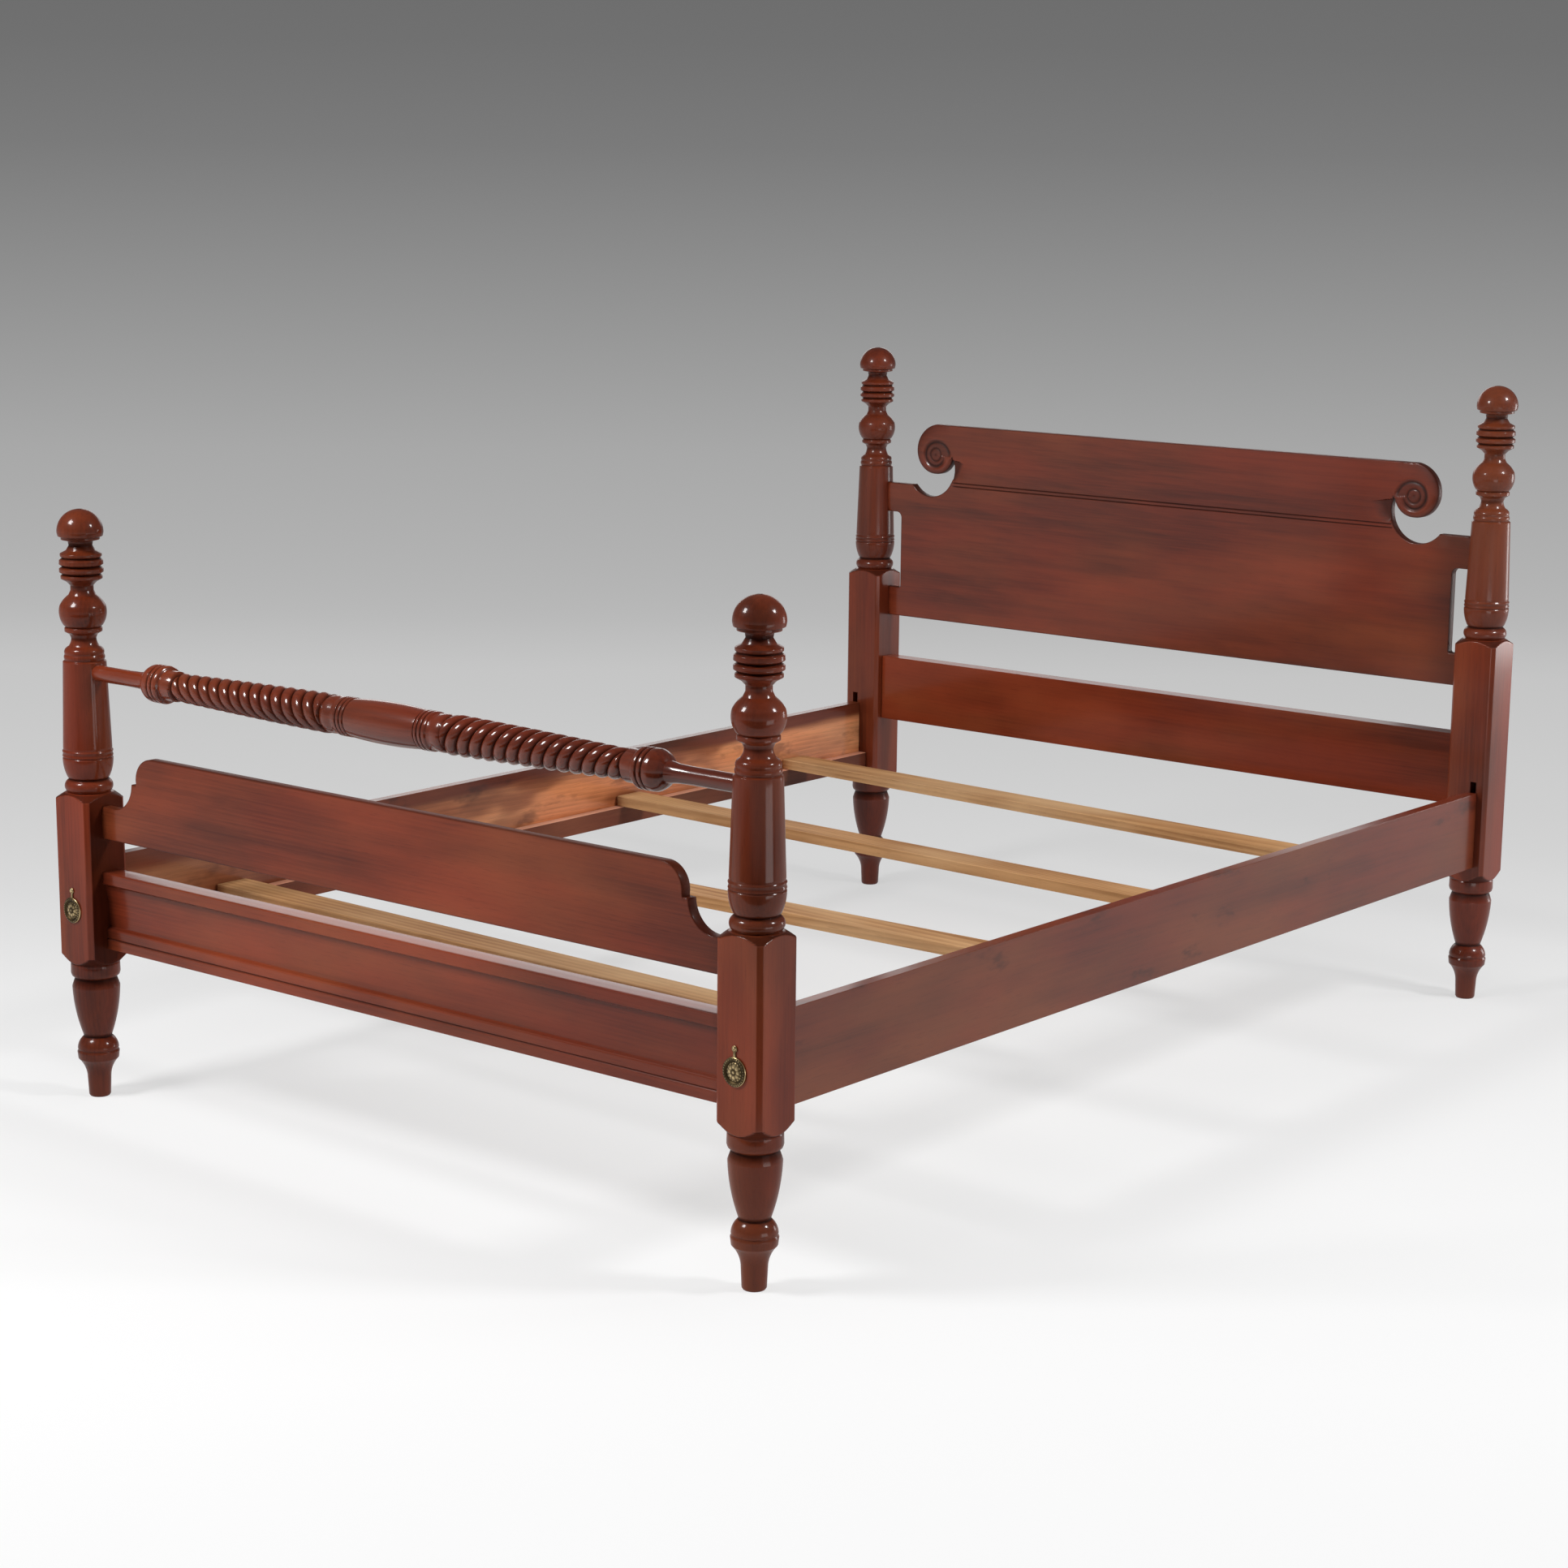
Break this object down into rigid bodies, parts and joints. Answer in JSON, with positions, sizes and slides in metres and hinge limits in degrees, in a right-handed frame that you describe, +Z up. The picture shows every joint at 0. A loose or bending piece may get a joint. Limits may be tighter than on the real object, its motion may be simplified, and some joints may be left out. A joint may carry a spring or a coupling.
{
  "type": "four-poster bed",
  "caption": "Full-size bed frame with turned posts, rope-turned blanket rail, scrolled headboard, shaped footboard, bolted side rails and loose slats.",
  "frame": {"origin": "on the floor, below the middle of the bounding box", "axes": "+X to the right seen from the foot of the bed, +Y from the foot to the head, +Z up"},
  "size_m": [1.492, 2.1572, 1.135],
  "materials": {
    "cherry": "red-brown cherry, glossy varnish",
    "rail_wood": "red-brown cherry, satin varnish outside and thinner stain inside",
    "slat_wood": "bare planed pine",
    "brass": "dark antiqued brass, stamped",
    "steel": "plain bright steel gone dull"
  },
  "bodies": {
    "frame": {"foot_post_left": "cherry", "foot_post_right": "cherry", "head_post_left": "cherry", "head_post_right": "cherry", "blanket_rail": "cherry", "footboard_panel": "cherry", "foot_rail": "cherry", "headboard_panel": "cherry", "headboard_rail": "cherry", "side_rail_left": "rail_wood", "side_rail_right": "rail_wood", "ledger_left": "rail_wood", "ledger_right": "rail_wood", "cover_pin_left": "brass", "cover_pin_right": "brass", "bed_bolt_left": "steel", "bed_nut_left": "steel", "hook_plate_left": "steel", "hook_pin_left_1": "steel", "hook_pin_left_2": "steel", "plate_screw_left_1": "steel", "plate_screw_left_2": "steel", "bed_bolt_right": "steel", "bed_nut_right": "steel", "hook_plate_right": "steel", "hook_pin_right_1": "steel", "hook_pin_right_2": "steel", "plate_screw_right_1": "steel", "plate_screw_right_2": "steel"},
    "cover_left": {"bolt_cover_left": "brass"},
    "cover_right": {"bolt_cover_right": "brass"},
    "slat_1_body": {"slat_1": "slat_wood"},
    "slat_2_body": {"slat_2": "slat_wood"},
    "slat_3_body": {"slat_3": "slat_wood"},
    "slat_4_body": {"slat_4": "slat_wood"}
  },
  "joints": [
    {"name": "cover_swing_left", "type": "hinge", "parent": "frame", "child": "cover_left", "pos_m": [-0.706, -1.07365, 0.353], "axis": [0, 1, 0], "continuous": true},
    {"name": "cover_swing_right", "type": "hinge", "parent": "frame", "child": "cover_right", "pos_m": [0.702, -1.07365, 0.353], "axis": [0, 1, 0], "continuous": true},
    {"name": "slat_lift_1", "type": "slide", "parent": "frame", "child": "slat_1_body", "axis": [0, 0, 1], "range_m": [0, 0.15]},
    {"name": "slat_lift_2", "type": "slide", "parent": "frame", "child": "slat_2_body", "axis": [0, 0, 1], "range_m": [0, 0.15]},
    {"name": "slat_lift_3", "type": "slide", "parent": "frame", "child": "slat_3_body", "axis": [0, 0, 1], "range_m": [0, 0.15]},
    {"name": "slat_lift_4", "type": "slide", "parent": "frame", "child": "slat_4_body", "axis": [0, 0, 1], "range_m": [0, 0.15]}
  ]
}
